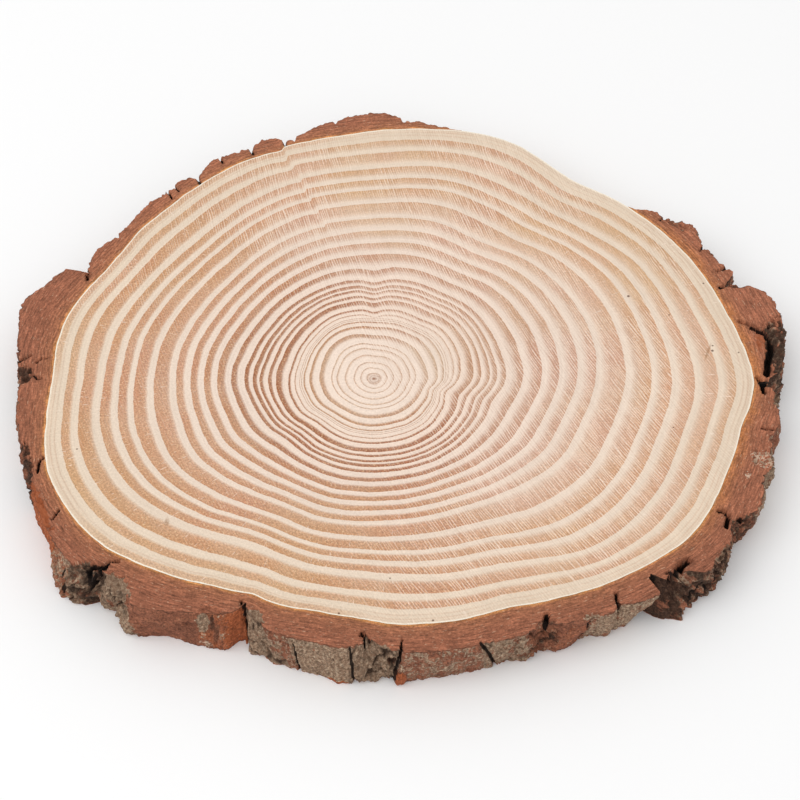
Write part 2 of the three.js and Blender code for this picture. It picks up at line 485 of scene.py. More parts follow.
def stretchAt(degrees, down):
    # the looks of the wall here; one stretch gives way to the next along a ragged line
    rows = bark["stretches"]
    degrees += 0.5 * noise.noise(Vector((degrees * 0.4, down / 3.5, 12.0)))
    degrees += 0.25 * noise.noise(Vector((degrees * 1.6, down / 1.2, 13.0)))
    i = 0
    for number, row in enumerate(rows):
        if row[0] + row[6] * down / topZ <= degrees:
            i = number
    mixed = rows[i][1:6]
    if i > 0:
        share = 0.5 + 0.5 * fade(0.0, 0.25, degrees - rows[i][0] - rows[i][6] * down / topZ)
        mixed = [a * (1 - share) + b * share for a, b in zip(rows[i - 1][1:6], mixed)]
    if i + 1 < len(rows):
        share = 0.5 * fade(-0.25, 0.0, degrees - rows[i + 1][0] - rows[i + 1][6] * down / topZ)
        mixed = [a * (1 - share) + b * share for a, b in zip(mixed, rows[i + 1][1:6])]
    return mixed


def distanceTo(line, x, y, scale):
    # mm from (x, y) to a line of (degrees, mm) points; scale is mm for each degree
    nearest = 1e9
    for (xa, ya), (xb, yb) in zip(line, line[1:]):
        dx, dy = (xb - xa) * scale, yb - ya
        px, py = (x - xa) * scale, y - ya
        t = min(1.0, max(0.0, (px * dx + py * dy) / (dx * dx + dy * dy)))
        nearest = min(nearest, math.hypot(px - t * dx, py - t * dy))
    return nearest


def near(degrees, low, high):
    # the same angle, moved by a whole turn if that puts it between low and high
    for shift in (0.0, 360.0, -360.0):
        if low <= degrees + shift <= high:
            return degrees + shift
    return None


def linesNear(lines, degrees, margin):
    found = []
    for line, *rest in lines:
        turn = near(degrees, min(p[0] for p in line) - margin, max(p[0] for p in line) + margin)
        if turn is not None:
            found.append((turn, line, *rest))
    return found


def reliefAt(column, down):
    # height of the outer bark over the frame's wall, and its looks, down mm below the top
    degrees = column["degrees"]
    along = math.radians(degrees) * barkRadius
    rough, dark, grey, peeled, out = stretchAt(degrees, down)
    spot = Vector((along / plateSize[0], down / plateSize[1], bark["seed"]))
    warp = noise.noise_vector(spot * 1.7) * 0.35
    gaps, seats = noise.voronoi(spot + warp)
    plate = noise.cell(seats[0] * 7.3)
    groove = (1.0 - fade(0.0, 0.10, gaps[1] - gaps[0])) * fade(0.4, 1.0, rough)
    slant = along + 1.1 * down * noise.noise(Vector((along / 45.0, 0.0, 15.0)))
    scales = noise.noise(Vector((slant / 6.0, down / 3.0, 5.0)) + warp * 2.0) * 2.5
    terrace = math.floor(scales) + fade(0.4, 0.6, scales - math.floor(scales))
    lump = noise.fractal(Vector((slant / 3.0, down / 4.5, 9.0)), 0.7, 2.1, 4)
    ridge = noise.noise(Vector((slant / 1.3, down / 9.0, 4.0)))
    grain = noise.noise(Vector((along / 0.8, down / 1.0, 2.0)))
    lobes = 0.6 * noise.noise(Vector((along / 2.4, down / 16.0, 7.0)))
    lobes += 0.45 * noise.noise(Vector((along / 1.05, down / 9.0, 8.0)))
    height = 0.4 + out + rough * (0.4 * plate + 0.35 * terrace + 0.6 * lump + 0.45 * ridge - 1.1 * groove)
    height += 0.12 * grain + lobes * (0.6 + 0.8 * min(1.0, rough))
    # painted shade: darker in the hollows between lumps and ridges and in the grooves, on top of the stretch's own
    # dark bark
    dark = dark * fade(-0.6, 0.5, -lump - 0.7 * ridge + 0.25) + 0.45 * groove
    grey = grey * fade(-1.5, 0.0, 0.4 * plate + lump + 0.4 * ridge)
    # painted shade: the grooves, and below them the splits down the wall, are painted near-black
    split = 0.45 * groove * fade(0.6, 1.2, rough)
    for turn, line, width, depth in column["wallSplits"]:
        gap = distanceTo(line, turn, down, 2.4) + 0.35 * noise.noise(Vector((along / 2, down / 2, 1)))
        cut = 1.0 - fade(width * 0.25, width, gap)
        height -= depth * cut
        if depth > 0.0:
            split = max(split, 1.0 - fade(width * 0.4, width * 0.9, gap))
    for turn, middle, level, halfWidth, halfHeight, raised, *looks in column["marks"]:
        edge = math.hypot((turn - middle) / halfWidth, (down - level) / halfHeight)
        edge += 0.25 * noise.noise(Vector((along / 1.8, down / 1.8, 21.0)))
        share = 1.0 - fade(0.8, 1.0, edge)
        height += raised * share
        dark, grey, peeled = [a * (1 - share) + b * share for a, b in zip((dark, grey, peeled), looks)]
    return height, dark, grey, peeled, split


def splitAt(column, radius):
    # how deep the sawn face is cut here, how far down the wall the cut runs, and how much painted shade darkens the
    # cut
    depth, reach, split = 0.0, 0.0, 0.0
    for turn, line, width, cutDepth, down in column["splits"]:
        jitter = 0.45 * noise.noise(Vector((turn * 2.6, radius * 1.2, 4.0)))
        jitter += 0.2 * noise.noise(Vector((turn * 6.0, radius * 2.6, 5.0)))
        gap = distanceTo(line, turn, radius, 2.4) + jitter * min(1.0, width)
        cut = 1.0 - fade(width * 0.2, width * 0.7, gap)
        if cut > 0.0:
            depth = max(depth, cutDepth * cut)
            reach = max(reach, down * cut)
            split = max(split, 1.0 - fade(width * 0.35, width * 0.8, gap))
    return depth, reach, split


def patchAt(column, radius):
    sink, darkness, greyness, peeled = 0.0, 0.0, 0.0, 0.0
    for turn, start, end, inner, outer, sunk, rough, dark, grey, peel in column["patches"]:
        if radius < inner - 1.5:
            continue
        x = (turn - (start + end) / 2) / ((end - start) / 2)
        y = (radius - (inner + outer) / 2) / ((outer - inner) / 2)
        if outer > column["wall"]:
            y = min(0.0, y)
        edge = math.hypot(x, y) + 0.3 * noise.noise(Vector((turn * 1.6, radius * 0.7, 8.0)))
        edge += 0.15 * noise.noise(Vector((turn * 4.5, radius * 2.0, 8.0)))
        inside = 1.0 - fade(0.82, 0.98, edge)
        if inside <= 0.0:
            continue
        lump = noise.fractal(Vector((turn * 1.2, radius * 0.5, 3.0)), 0.8, 2.2, 5)
        sink += inside * max(0.0, sunk * (0.75 + 0.35 * lump) + rough * max(-0.6, lump))
        # darker where the patch sinks deeper: painted shade in the pit, on top of the patch's own dark
        darkness = max(darkness, inside * dark * fade(-0.9, 0.3, lump + 0.2))
        greyness = max(greyness, inside * grey)
        peeled += inside * peel
    return sink, darkness, greyness, peeled


def makeColumn(settings, degrees):
    # everything about the bark at one angle that all its heights share
    column = {"degrees": degrees, "inner": woodEdge(degrees), "undercut": undercutAt(degrees)}
    begin, full, until, end = settings["rimToo"]
    column["rimToo"] = fade(begin, full, degrees) * (1.0 - fade(until, end, degrees))
    column["splits"] = linesNear(settings["splits"], degrees, 1.6)
    column["wallSplits"] = linesNear(settings["wallSplits"], degrees, 1.5)
    column["wall"] = frameWall(degrees, topZ)
    column["marks"] = []
    for mark in settings["marks"]:
        turn = near(degrees, mark[0] - 1.4 * mark[2], mark[0] + 1.4 * mark[2])
        if turn is not None:
            column["marks"].append((turn, *mark))
    column["patches"] = []
    for patch in settings["patches"]:
        turn = near(degrees, patch[0] - 1.0, patch[1] + 1.0)
        if turn is not None:
            column["patches"].append((turn, *patch))
    column["taper"] = 0.12 + 0.88 * min(fade(settings["from"], settings["from"] + 3.0, degrees),
                                        fade(-settings["to"], 2.5 - settings["to"], -degrees))
    column["rim"] = outerRadius(column, 0.0, reliefAt(column, 0.0)[0])
    column["foot"] = outerRadius(column, topZ, reliefAt(column, topZ)[0])
    cut, reach, _ = splitAt(column, column["rim"])
    column["cut"], column["reach"] = cut, reach
    column["sink"] = max(0.0, patchAt(column, column["rim"])[0]) * column["taper"]
    return column


def outerRadius(column, down, height):
    # the bark wall, kept outside the wood and thinned to its two ends
    radius = frameWall(column["degrees"], topZ - down) + height * (0.7 + 0.3 * fade(0.0, 3.0, down))
    radius -= column["undercut"] * max(fade(0.0, topZ, down), column["rimToo"])
    if column.get("reach", 0.0) > 0.0:
        radius -= min(4.0, column["cut"] * (1.0 - fade(column["reach"] * 0.6, column["reach"] + 0.01, down)))
    least = column["inner"] + 0.35
    return least + max(0.0, radius - least) * column["taper"]


def placeBark(column, out, up):
    # from the clean square section to the real one; out runs across, up runs up the wall
    inner, down = column["inner"], (1.0 - up) * topZ
    dark, grey, peeled, split = 0.0, 0.0, 0.0, 0.0
    if out > 0.999 and 0.001 < up < 0.999:
        height, dark, grey, peeled, split = reliefAt(column, down)
        radius = outerRadius(column, down, height)
        # painted shade: the wall is painted darker the deeper a cut runs into it
        if column["reach"] > 0.0:
            cut = column["cut"] * (1.0 - fade(column["reach"] * 0.6, column["reach"] + 0.01, down))
            split = max(split, min(1.0, cut / 3.0))
        z = (topZ - column["sink"]) * up
    elif up > 0.999:
        radius = inner - 0.3 + (column["rim"] - inner + 0.3) * out
        sink, dark, grey, peeled = patchAt(column, radius)
        depth, _, split = splitAt(column, radius)
        z = topZ - 0.12 * (1.0 - fade(0.0, 1.2, radius - inner))
        z -= max(sink * column["taper"], depth)
        z += 0.04 * noise.noise(Vector((column["degrees"] * 3.0, radius * 2.0, 6.0))) - 0.04
        z = max(z, 2.0)
        # partly the dark outer layer, partly painted shade: a dark line along the top edge where the wall falls away
        if out > 0.999:
            dark = max(dark, 0.55 + 0.35 * noise.noise(Vector((column["degrees"] * 0.7, 2.0, 6.0))))
    elif up < 0.001:
        radius = inner - 0.3 + (column["foot"] - inner + 0.3) * out
        z = 0.0
    else:
        radius, z = inner - 0.3, up * topZ
    x, y = polar(column["degrees"], radius)
    looks = {"along": math.radians(column["degrees"]) * barkRadius * mm, "across": (radius - inner) * mm,
             "down": down * mm, "dark": min(1.0, max(0.0, dark)), "grey": min(1.0, max(0.0, grey)),
             "peeled": min(1.0, max(-1.0, peeled)), "split": min(1.0, max(0.0, split))}
    return Vector((x, y, z)) * mm, looks


def mapBark(shape, settings, measure):
    # the piece's own map: four rows, each with the top, wall, underside and inner side of its arc
    start, rows = settings["from"], settings["rows"]
    arc = (settings["to"] - start) / rows
    widths = (12.0, 20.0, 9.0, 3.0)  # mm of the map for the four sides
    rowLength = math.radians(arc) * barkRadius
    uv = shape.loops.layers.uv.new("OFBake")
    for face in shape.faces:
        spots = [measure(loop.vert.co) for loop in face.loops]
        middle = measure(face.calc_center_median())[0]
        if len(face.verts) > 4:  # the two ends
            offset = 0.0 if middle < start + arc else 30.0
            for loop, (_, out, up) in zip(face.loops, spots):
                loop[uv].uv = (0.01 + (offset + out * 20.0) / rowLength * 0.97, 0.985 + 0.01 * up)
            face.material_index = 1
            continue
        row = min(rows - 1, int((middle - start) / arc))
        side = 3
        for index, flat in enumerate((lambda out, up: up > 0.999, lambda out, up: out > 0.999,
                                      lambda out, up: up < 0.001)):
            if all(flat(out, up) for _, out, up in spots):
                side = index
        face.material_index = 1 if side == 1 else 0
        face.smooth = True
        base = row * (sum(widths) + 1.5) + sum(widths[:side])
        for loop, (degrees, out, up) in zip(face.loops, spots):
            part = (out, 1.0 - up, 1.0 - out, up)[side]
            loop[uv].uv = (0.01 + 0.97 * (degrees - start - row * arc) / arc,
                           0.01 + (base + part * widths[side]) / rowLength * 0.97)


def makeBark(settings):
    steps = settings["steps"]
    start, end = settings["from"], settings["to"]
    shape = bmesh.new()
    # a square section between 1 and 2 from the axis: inner side, top, wall, underside
    corners = [(1.0, z) for z in (0.0, 0.33, 0.67)]
    corners += [(1.0 + i / settings["topLoops"], 1.0) for i in range(settings["topLoops"])]
    corners += [(2.0, 1.0 - i / settings["wallLoops"]) for i in range(settings["wallLoops"])]
    corners += [(2.0 - i / settings["underLoops"], 0.0) for i in range(settings["underLoops"])]
    turn = math.radians(start)
    section = [shape.verts.new((x * math.cos(turn), x * math.sin(turn), z)) for x, z in corners]
    edges = [shape.edges.new(pair) for pair in zip(section, section[1:] + section[:1])]
    sweepRound(shape, section, edges, math.radians(end - start), steps)
    bmesh.ops.edgeloop_fill(shape, edges=[edge for edge in shape.edges if edge.is_boundary])
    bmesh.ops.recalc_face_normals(shape, faces=shape.faces)

    def measure(co):
        degrees = math.degrees(math.atan2(co.y, co.x)) % 360.0
        if degrees < (start + end - 360.0) / 2:
            degrees += 360.0
        return degrees, math.hypot(co.x, co.y) - 1.0, co.z

    mapBark(shape, settings, measure)
    for edge in shape.edges:  # the saw left a sharp rim
        kinds = {face.material_index for face in edge.link_faces}
        edge.smooth = len(kinds) < 2
    names = ("along", "across", "down", "dark", "grey", "peeled", "split")
    layers = {name: shape.verts.layers.float.new(name) for name in names}
    columns = {}
    for vert in shape.verts:
        degrees, out, up = measure(vert.co)
        step = round((degrees - start) / (end - start) * steps)
        if step not in columns:
            columns[step] = makeColumn(settings, start + (end - start) * step / steps)
        vert.co, looks = placeBark(columns[step], out, up)
        for name, value in looks.items():
            vert[layers[name]] = value
    bmesh.ops.recalc_face_normals(shape, faces=shape.faces)
    return settle(shape, "bark")


barkPiece = makeBark(bark)
print("bark grown:", len(barkPiece.data.polygons), "faces")


# ---------- material helpers ----------
def tint(red, green, blue):
    # display colour, 0 to 255, to the linear colour that a shader wants
    linear = []
    for value in (red, green, blue):
        share = value / 255.0
        linear.append(share / 12.92 if share <= 0.04045 else ((share + 0.055) / 1.055) ** 2.4)
    return (*linear, 1.0)


def newMaterial(name):
    material = bpy.data.materials.new(name)
    material.use_nodes = True
    tree = material.node_tree
    tree.nodes.clear()
    output = tree.nodes.new("ShaderNodeOutputMaterial")
    shader = tree.nodes.new("ShaderNodeBsdfPrincipled")
    tree.links.new(shader.outputs["BSDF"], output.inputs["Surface"])
    return material, tree, shader


def feed(tree, socket, value):
    if isinstance(value, bpy.types.NodeSocket):
        tree.links.new(value, socket)
    elif value is not None:
        socket.default_value = value


def calc(tree, operation, first, second=None, third=None, clamp=False):
    made = tree.nodes.new("ShaderNodeMath")
    made.operation = operation
    made.use_clamp = clamp
    for socket, value in zip(made.inputs, (first, second, third)):
        feed(tree, socket, value)
    return made.outputs[0]


def combine(tree, x, y, z):
    made = tree.nodes.new("ShaderNodeCombineXYZ")
    for socket, value in zip(made.inputs, (x, y, z)):
        feed(tree, socket, value)
    return made.outputs[0]


def noisy(tree, vector, scale, detail=3.0, roughness=0.55, stretch=None):
    if stretch:
        mapping = tree.nodes.new("ShaderNodeMapping")
        mapping.inputs["Scale"].default_value = stretch
        tree.links.new(vector, mapping.inputs["Vector"])
        vector = mapping.outputs[0]
    made = tree.nodes.new("ShaderNodeTexNoise")
    made.inputs["Scale"].default_value = scale
    made.inputs["Detail"].default_value = detail
    made.inputs["Roughness"].default_value = roughness
    tree.links.new(vector, made.inputs["Vector"])
    return made.outputs["Fac"]


def cells(tree, vector, scale, feature="DISTANCE_TO_EDGE"):
    made = tree.nodes.new("ShaderNodeTexVoronoi")
    made.feature = feature
    made.inputs["Scale"].default_value = scale
    tree.links.new(vector, made.inputs["Vector"])
    return made.outputs["Distance"]


def spread(tree, value, low, high, newLow=0.0, newHigh=1.0, kind="SMOOTHSTEP"):
    made = tree.nodes.new("ShaderNodeMapRange")
    made.interpolation_type = kind
    for name, setting in (("Value", value), ("From Min", low), ("From Max", high),
                          ("To Min", newLow), ("To Max", newHigh)):
        feed(tree, made.inputs[name], setting)
    return made.outputs["Result"]


def ramp(tree, value, stops, kind="LINEAR"):
    made = tree.nodes.new("ShaderNodeValToRGB")
    made.color_ramp.interpolation = kind
    elements = made.color_ramp.elements
    while len(elements) < len(stops):
        elements.new(0.5)
    for element, (place, colour) in zip(elements, stops):
        element.position = place
    for element, (place, colour) in zip(elements, stops):
        element.color = colour if isinstance(colour, tuple) else (colour, colour, colour, 1.0)
    tree.links.new(value, made.inputs["Fac"])
    return made.outputs["Color"]


def blend(tree, factor, first, second, kind="MIX"):
    made = tree.nodes.new("ShaderNodeMix")
    made.data_type = "RGBA"
    made.blend_type = kind
    feed(tree, made.inputs[0], factor)
    feed(tree, made.inputs[6], first)
    feed(tree, made.inputs[7], second)
    return made.outputs[2]


def attribute(tree, name):
    made = tree.nodes.new("ShaderNodeAttribute")
    made.attribute_name = name
    return made.outputs["Fac"]


def objectSpot(tree, shift=(0.0, 0.0, 0.0)):
    coordinates = tree.nodes.new("ShaderNodeTexCoord")
    mapping = tree.nodes.new("ShaderNodeMapping")
    mapping.inputs["Location"].default_value = shift
    tree.links.new(coordinates.outputs["Object"], mapping.inputs["Vector"])
    return mapping.outputs[0]


def parts(tree, vector):
    made = tree.nodes.new("ShaderNodeSeparateXYZ")
    tree.links.new(vector, made.inputs[0])
    return made.outputs


def addBump(tree, shader, height, distance, strength=1.0):
    made = tree.nodes.new("ShaderNodeBump")
    made.inputs["Strength"].default_value = strength
    made.inputs["Distance"].default_value = distance
    tree.links.new(height, made.inputs["Height"])
    tree.links.new(made.outputs[0], shader.inputs["Normal"])


# ---------- end grain ----------
endGrain = {
    "cream": [(0, (246, 225, 208)), (6, (246, 225, 208)), (9, (243, 222, 204)), (14, (244, 221, 203)),
              (20, (240, 219, 202)), (26, (236, 216, 196)), (29.9, (232, 212, 188)),
              (31, (232, 212, 188))],
    # late wood on the deep side, lower left, and on the pale side, upper right
    "deep": [(0, (205, 170, 146)), (6, (198, 160, 134)), (7.5, (186, 137, 103)), (12, (176, 120, 86)),
             (13, (165, 105, 71)), (18.5, (170, 111, 77)), (20, (190, 135, 99)), (23, (200, 148, 113)),
             (28, (201, 150, 112)), (29.2, (206, 162, 126)), (31, (206, 164, 128))],
    "pale": [(0, (208, 176, 152)), (6, (202, 168, 142)), (9, (200, 163, 136)), (13, (192, 148, 118)),
             (18.5, (195, 150, 121)), (20, (205, 162, 134)), (22.5, (216, 178, 152)), (24, (214, 172, 142)),
             (25, (213, 168, 132)), (26.5, (212, 167, 131)), (28, (214, 172, 139)), (29.2, (208, 165, 130)),
             (31, (208, 165, 130))],
    "paleSide": 30.0,  # degrees
    # how strongly each year's late wood shows
    "strength": [(0, 0.8), (5.6, 0.9), (6.2, 0.85), (7.1, 1.0), (7.6, 1.0), (9.2, 1.0), (10.2, 0.8),
                 (12.1, 0.85), (12.6, 1.0), (29.1, 1.0), (29.4, 0.0), (31, 0.0)],
    "lastYear": [(138, 0.70, 0.85), (240, 0.84, 0.95)],  # sides where year 30 is brown too
    "sawCentre": (0.550, 0.235),
    "sawPitch": 0.00098,
    "spots": [  # small dark knots and nicks: degrees, mm from the heart, mm across
        (23.3, 112.7, 1.5), (197.3, 118.3, 0.9), (16, 124, 0.9), (21, 144.5, 1.0), (5.5, 145.7, 0.9),
        (348, 118, 0.8), (274, 95, 0.8), (264, 110.5, 1.1), (281, 115, 1.1), (6.3, 135.5, 1.4),
        (7.4, 136.2, 1.0)],
    # brown streaks: start and end (degrees, mm), mm wide
    "streaks": [((4.0, 131.2), (8.3, 136.3), 1.4), ((221.5, 101.5), (223.5, 104.5), 2.2)],
}


def yearStops(stops):
    return [(year / 31.0, tint(*colour) if isinstance(colour, tuple) else colour)
            for year, colour in stops]


def shadeOf(tree, value, low, high, darkest, palest):
    # a grey multiplier
    level = spread(tree, value, low, high, darkest, palest, "LINEAR")
    return combine(tree, level, level, level)


def flatDistance(tree, x, y):
    return calc(tree, "SQRT", calc(tree, "MULTIPLY_ADD", x, x, calc(tree, "MULTIPLY", y, y)))


def makeEndGrain(look):
    material, tree, shader = newMaterial("endGrain")
    spot = objectSpot(tree, (-pith.x * mm, -pith.y * mm, 0.0))
    place = parts(tree, spot)
    radius = flatDistance(tree, place[0], place[1])
    safe = calc(tree, "MAXIMUM", radius, 0.0005)
    east = calc(tree, "DIVIDE", place[0], safe)
    north = calc(tree, "DIVIDE", place[1], safe)
    side = math.radians(look["paleSide"])
    toPale = calc(tree, "MULTIPLY_ADD", east, math.cos(side), calc(tree, "MULTIPLY", north, math.sin(side)))
    cloud = noisy(tree, spot, 14.0, 3.0)
    toPale = calc(tree, "ADD", toPale, spread(tree, cloud, 0.3, 0.7, -0.2, 0.2, "LINEAR"))
    toPale = calc(tree, "ADD", toPale, spread(tree, radius, 0.035, 0.085, -0.5, 0.1, "LINEAR"))
    paleShare = spread(tree, toPale, -0.25, 0.4)

    # the ring phase, feathered a little by the fibres
    feather = noisy(tree, spot, 1300.0, 2.0, 0.7)
    ragged = noisy(tree, spot, 300.0, 2.0)
    ring = attribute(tree, "ring")
    ring = calc(tree, "ADD", ring, spread(tree, feather, 0.0, 1.0, -0.05, 0.05, "LINEAR"))
    ring = calc(tree, "ADD", ring, spread(tree, ragged, 0.0, 1.0, -0.03, 0.03, "LINEAR"))
    ring = calc(tree, "MAXIMUM", ring, 0.0)
    part = calc(tree, "FRACT", ring)
    years = calc(tree, "DIVIDE", ring, 31.0)
    crisp = ramp(tree, part, [(0.0, 0.9), (0.03, 0.0), (0.39, 0.0), (0.50, 0.55), (0.58, 0.88),
                              (0.8, 0.95), (1.0, 1.0)])
    soft = ramp(tree, part, [(0.0, 0.9), (0.03, 0.0), (0.28, 0.0), (0.47, 0.38), (0.62, 0.74),
                             (0.85, 0.9), (1.0, 1.0)])
    late = blend(tree, paleShare, crisp, soft)
    strength = ramp(tree, years, yearStops(look["strength"]))
    for towards, low, high in look["lastYear"]:
        turn = math.radians(towards)
        facing = calc(tree, "MULTIPLY_ADD", east, math.cos(turn), calc(tree, "MULTIPLY", north, math.sin(turn)))
        last = calc(tree, "MULTIPLY", spread(tree, facing, low, high), spread(tree, ring, 29.45, 29.6))
        last = calc(tree, "MULTIPLY", last, spread(tree, ring, 29.90, 29.94, 0.85, 0.0))
        strength = calc(tree, "MAXIMUM", strength, last)
    late = calc(tree, "MULTIPLY", late, strength)
    mottled = noisy(tree, spot, 55.0, 3.0)
    late = calc(tree, "MULTIPLY", late, spread(tree, mottled, 0.25, 0.75, 0.84, 1.1, "LINEAR"))

    cream = ramp(tree, years, yearStops(look["cream"]))
    brown = blend(tree, paleShare, ramp(tree, years, yearStops(look["deep"])),
                  ramp(tree, years, yearStops(look["pale"])))
    warm = noisy(tree, spot, 26.0, 2.0)  # some stretches run rosy, others golden
    brown = blend(tree, 1.0, brown, ramp(tree, warm, [(0.35, (1.0, 1.02, 0.92, 1.0)), (0.5, (1.0, 0.99, 0.96, 1.0)),
                                                      (0.65, (1.0, 0.955, 1.0, 1.0))]), "MULTIPLY")
    colour = blend(tree, late, cream, brown)

    # faint lines in the last year, and the bright line next to the bark
    edgeYear = calc(tree, "SUBTRACT", ring, yearCount - 1.0)
    faint = ramp(tree, edgeYear, [(0.34, 0.0), (0.40, 0.5), (0.47, 0.1), (0.60, 0.05), (0.68, 0.6),
                                  (0.75, 0.08), (0.82, 0.4), (0.88, 0.0)])
    faint = calc(tree, "MULTIPLY", faint, spread(tree, mottled, 0.3, 0.6, 0.35, 1.0))
    colour = blend(tree, faint, colour, tint(208, 170, 142))
    colour = blend(tree, spread(tree, edgeYear, 0.90, 0.95, 0.0, 0.85), colour, tint(252, 243, 226))

    # thin false rings inside each year
    fine = noisy(tree, combine(tree, calc(tree, "MULTIPLY", ring, 8.0), calc(tree, "MULTIPLY", east, 1.6),
                               calc(tree, "MULTIPLY", north, 1.6)), 1.0, 2.0)
    colour = blend(tree, 1.0, colour, shadeOf(tree, fine, 0.3, 0.7, 0.95, 1.04), "MULTIPLY")

    # saw marks: fine even lines in long arcs about a far centre, broken into dashes, paler on the crests of their
    # waves and darker in the troughs
    sawX, sawY = look["sawCentre"]
    saw = parts(tree, objectSpot(tree, (-sawX, -sawY, 0.0)))
    reach = flatDistance(tree, saw[0], saw[1])
    swing = calc(tree, "ARCTAN2", saw[1], calc(tree, "MULTIPLY", saw[0], -1.0))
    sawSpot = combine(tree, calc(tree, "MULTIPLY", reach, 900.0), calc(tree, "MULTIPLY", swing, 58.0), 0.0)
    dashes = noisy(tree, sawSpot, 1.0, 1.0, 0.5)
    drift = noisy(tree, combine(tree, calc(tree, "MULTIPLY", reach, 260.0),
                                calc(tree, "MULTIPLY", swing, 30.0), 7.0), 1.0, 2.0)
    wave = calc(tree, "MULTIPLY_ADD", reach, math.tau / look["sawPitch"], calc(tree, "MULTIPLY", drift, 14.0))
    wave = calc(tree, "SINE", wave)
    broad = noisy(tree, combine(tree, calc(tree, "MULTIPLY", reach, 210.0),
                                calc(tree, "MULTIPLY", swing, 9.0), 3.0), 1.0, 2.0)
    markArea = calc(tree, "MULTIPLY", spread(tree, noisy(tree, spot, 30.0, 2.0), 0.36, 0.6, 0.35, 1.0),
                    spread(tree, toPale, -0.7, 0.2, 0.22, 1.0))
    sawCrestPale = calc(tree, "MULTIPLY", spread(tree, wave, 0.2, 0.95), spread(tree, dashes, 0.38, 0.54))
    sawCrestPale = calc(tree, "MULTIPLY", sawCrestPale, markArea)
    sawCrestPale = calc(tree, "MULTIPLY", sawCrestPale, spread(tree, late, 0.0, 0.8, 0.25, 0.68, "LINEAR"))
    colour = blend(tree, sawCrestPale, colour, tint(252, 232, 214))
    sawTroughDark = calc(tree, "MULTIPLY", spread(tree, wave, -0.1, -0.9), spread(tree, dashes, 0.60, 0.44))
    sawTroughDark = calc(tree, "MULTIPLY", sawTroughDark, markArea)
    sawTroughDark = calc(tree, "MULTIPLY", sawTroughDark, spread(tree, late, 0.0, 0.8, 0.16, 0.5, "LINEAR"))
    colour = blend(tree, sawTroughDark, colour, tint(172, 116, 84))
    colour = blend(tree, 1.0, colour, shadeOf(tree, broad, 0.3, 0.7, 0.975, 1.02), "MULTIPLY")

    # pale rays out from the heart, and the grain of the cut fibres
    raySpot = combine(tree, calc(tree, "MULTIPLY", east, 150.0), calc(tree, "MULTIPLY", north, 150.0),
                      calc(tree, "MULTIPLY", radius, 260.0))
    rays = calc(tree, "MULTIPLY", spread(tree, noisy(tree, raySpot, 1.0, 1.0), 0.68, 0.74),
                spread(tree, radius, 0.018, 0.03))
    colour = blend(tree, calc(tree, "MULTIPLY", rays, 0.45), colour, tint(250, 230, 212))
    fibre = noisy(tree, spot, 1150.0, 3.0, 0.8)
    level = calc(tree, "MULTIPLY", calc(tree, "SUBTRACT", fibre, 0.5), spread(tree, late, 0.0, 0.9, 0.6, 1.75))
    level = calc(tree, "MULTIPLY", level, spread(tree, paleShare, 0.0, 1.0, 1.0, 0.65))
    level = calc(tree, "ADD", level, 1.0)
    colour = blend(tree, 1.0, colour, combine(tree, level, level, level), "MULTIPLY")
    fleck = spread(tree, noisy(tree, spot, 1250.0, 1.0), 0.58, 0.68)
    fleck = calc(tree, "MULTIPLY", fleck, calc(tree, "MULTIPLY", late, spread(tree, paleShare, 0.0, 1.0, 0.5, 0.2)))
    colour = blend(tree, fleck, colour, tint(248, 212, 168))
    colour = blend(tree, 1.0, colour, shadeOf(tree, cloud, 0.25, 0.75, 0.975, 1.02), "MULTIPLY")

    # small dark spots and brown streaks
    dark = None
    for degrees, away, across in look["spots"]:
        turn = math.radians(degrees)
        gap = flatDistance(tree, calc(tree, "SUBTRACT", place[0], away * mm * math.cos(turn)),
                           calc(tree, "SUBTRACT", place[1], away * mm * math.sin(turn)))
        here = spread(tree, gap, across * 0.2 * mm, across * 0.55 * mm, 1.0, 0.0)
        dark = here if dark is None else calc(tree, "MAXIMUM", dark, here)
    colour = blend(tree, calc(tree, "MULTIPLY", dark, 0.85), colour, tint(96, 62, 42))
    for start, end, width in look["streaks"]:
        (xa, ya), (xb, yb) = [(r * mm * math.cos(math.radians(d)), r * mm * math.sin(math.radians(d)))
                              for d, r in (start, end)]
        length = math.hypot(xb - xa, yb - ya)
        ux, uy = (xb - xa) / length, (yb - ya) / length
        px = calc(tree, "SUBTRACT", place[0], (xa + xb) / 2)
        py = calc(tree, "SUBTRACT", place[1], (ya + yb) / 2)
        run = calc(tree, "MULTIPLY_ADD", px, ux / length * 2, calc(tree, "MULTIPLY", py, uy / length * 2))
        off = calc(tree, "MULTIPLY_ADD", px, -uy / (width * mm), calc(tree, "MULTIPLY", py, ux / (width * mm)))
        here = spread(tree, flatDistance(tree, run, calc(tree, "MULTIPLY", off, 2.0)), 0.4, 1.1, 1.0, 0.0)
        here = calc(tree, "MULTIPLY", here, spread(tree, feather, 0.3, 0.6, 0.2, 0.6))
        colour = blend(tree, here, colour, tint(150, 104, 62))
    wobbled = calc(tree, "ADD", radius, spread(tree, ragged, 0.3, 0.7, -0.0006, 0.0006, "LINEAR"))
    heart = ramp(tree, calc(tree, "MULTIPLY", wobbled, 100.0), [
        (0.0, 0.95), (0.05, 0.7), (0.09, 0.3), (0.14, 0.1), (0.17, 0.42), (0.20, 0.45), (0.23, 0.08),
        (0.30, 0.28), (0.33, 0.0)])
    colour = blend(tree, heart, colour, tint(150, 100, 72))

    tree.links.new(colour, shader.inputs["Base Color"])
    tree.links.new(spread(tree, late, 0.0, 1.0, 0.72, 0.60, "LINEAR"), shader.inputs["Roughness"])
    shader.inputs["Specular IOR Level"].default_value = 0.25
    lift = calc(tree, "MULTIPLY_ADD", wave, 0.12, calc(tree, "MULTIPLY", fibre, 0.35))
    lift = calc(tree, "MULTIPLY_ADD", late, 0.25, lift)
    addBump(tree, shader, lift, 0.00012, 0.5)
    return material


